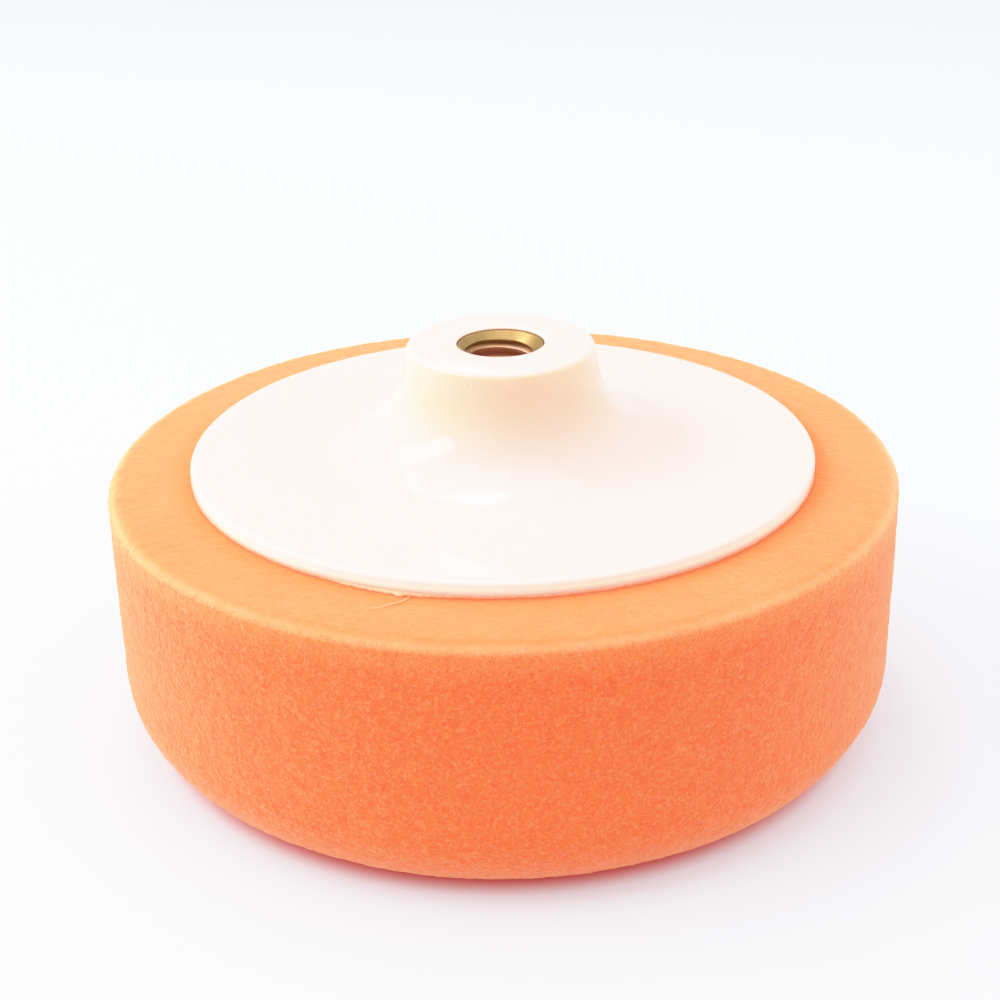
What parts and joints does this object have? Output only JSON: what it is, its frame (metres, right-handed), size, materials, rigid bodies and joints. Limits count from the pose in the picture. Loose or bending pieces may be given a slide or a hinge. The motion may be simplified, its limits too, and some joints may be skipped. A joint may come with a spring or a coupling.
{
  "type": "polishing pad",
  "caption": "Round foam polishing pad bonded to a plastic backing plate, whose flared conical hub holds a threaded brass insert for a rotary polisher's spindle.",
  "frame": {"origin": "centre of the foam's flat working face", "axes": "+Z along the spindle axis, from the working face up through the hub; X and Y lie in the working face, and the part is round, so their directions are free"},
  "size_m": [0.1508, 0.1508, 0.0728],
  "materials": {
    "foam": "matte",
    "adhesive": "satin",
    "plate_plastic": "gloss",
    "insert_brass": "satin"
  },
  "bodies": {
    "root": {"foam_disc": "foam", "adhesive_layer": "adhesive", "backing_plate": "plate_plastic", "threaded_insert": "insert_brass"}
  },
  "joints": []
}
